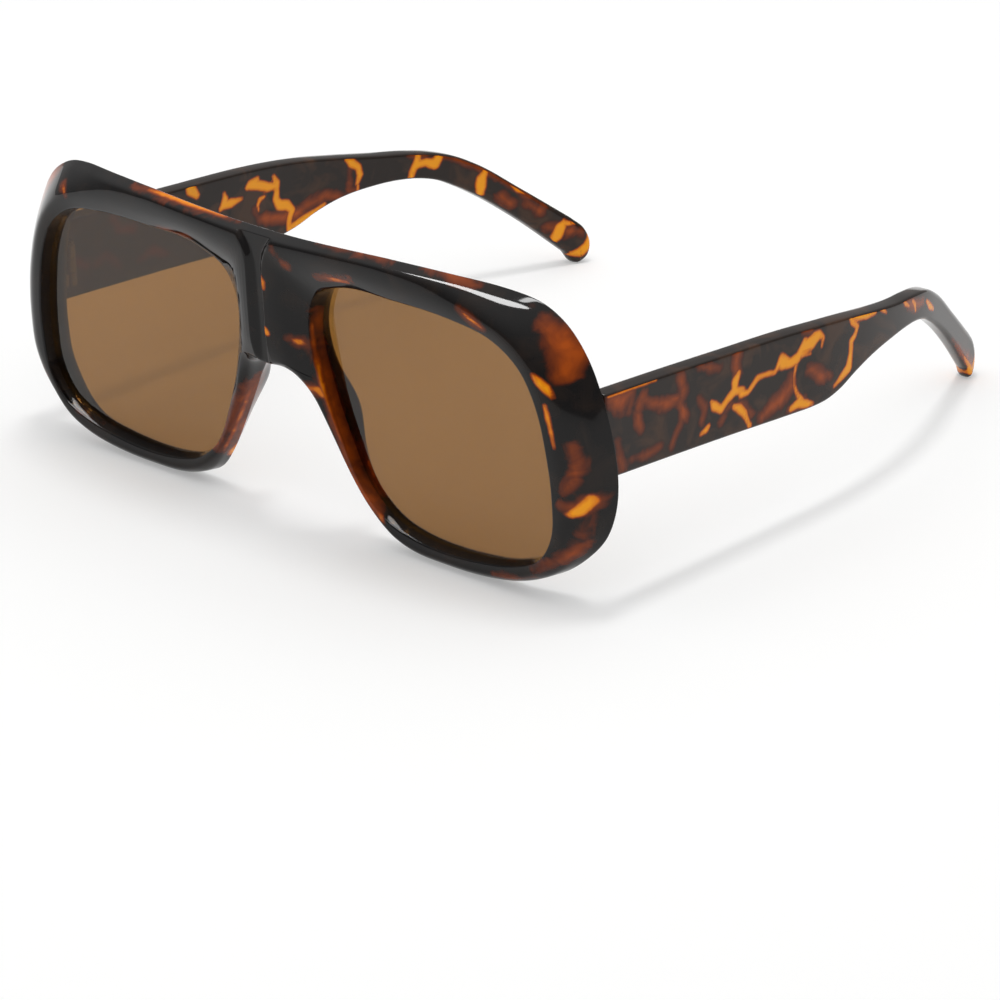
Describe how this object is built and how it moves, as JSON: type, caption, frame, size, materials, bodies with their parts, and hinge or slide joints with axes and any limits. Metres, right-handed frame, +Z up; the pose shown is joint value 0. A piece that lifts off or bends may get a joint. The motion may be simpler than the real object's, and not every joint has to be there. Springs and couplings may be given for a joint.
{
  "type": "sunglasses",
  "caption": "Oversized square sunglasses: a deep moulded front with a grooved bridge, flat brown tinted lenses and wide slab temples that fold on screwed hinges.",
  "frame": {"origin": "middle of the bounding box's base, on the surface that the rims and temple tips stand on", "axes": "+X to the wearer's left, +Y from the lenses back to the ear tips, +Z up"},
  "size_m": [0.1492, 0.1402, 0.0584],
  "materials": {
    "tortoiseshell": "polished, near-black brown with amber blotches",
    "tinted_lens": "polished see-through brown",
    "hinge_steel": "satin nickel-plated"
  },
  "bodies": {
    "front": {"front_frame": "tortoiseshell", "left_lens": "tinted_lens", "right_lens": "tinted_lens", "left_front_hinge": "hinge_steel", "right_front_hinge": "hinge_steel", "left_hinge_screw": "hinge_steel", "right_hinge_screw": "hinge_steel"},
    "left_temple": {"left_temple": "tortoiseshell", "left_temple_hinge": "hinge_steel"},
    "right_temple": {"right_temple": "tortoiseshell", "right_temple_hinge": "hinge_steel"}
  },
  "joints": [
    {"name": "left_temple_fold", "type": "hinge", "parent": "front", "child": "left_temple", "pos_m": [0.0667, -0.05459, 0.03181], "axis": [0, 0, 1], "range_deg": [0, 80]},
    {"name": "right_temple_fold", "type": "hinge", "parent": "front", "child": "right_temple", "pos_m": [-0.0667, -0.05459, 0.03181], "axis": [0, 0, -1], "range_deg": [0, 70]}
  ]
}
